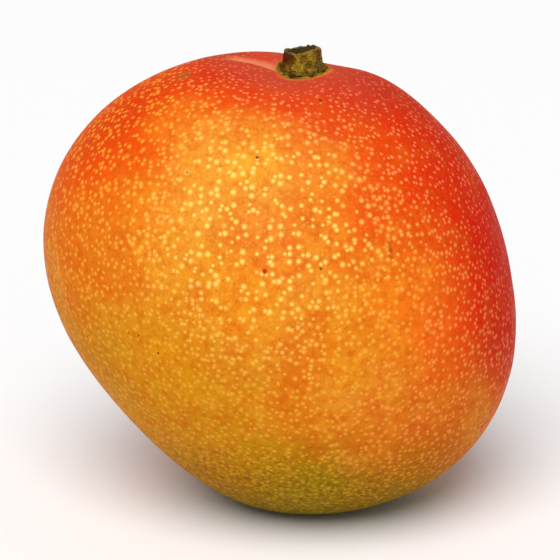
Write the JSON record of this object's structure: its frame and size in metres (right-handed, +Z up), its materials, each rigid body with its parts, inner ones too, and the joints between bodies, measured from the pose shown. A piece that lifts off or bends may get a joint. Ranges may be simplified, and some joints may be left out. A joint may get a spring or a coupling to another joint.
{
  "type": "mango",
  "caption": "Whole ripe mango, broad and slightly flattened, with a short woody stem stub, standing stem up on a small flat spot.",
  "frame": {"origin": "on the table, under the middle of the whole fruit's box, so the flat resting spot lies in the plane Z = 0", "axes": "+Z up through the stem end, -Y towards the fuller front cheek, +X towards the fuller side of the broad outline"},
  "size_m": [0.1036, 0.086, 0.1034],
  "materials": {
    "mango_skin": "thin waxy skin, yellow to red, with pale dots",
    "stem_bark": "dry rough olive-brown bark"
  },
  "bodies": {
    "root": {"fruit": "mango_skin", "stem_stub": "stem_bark"}
  },
  "joints": []
}
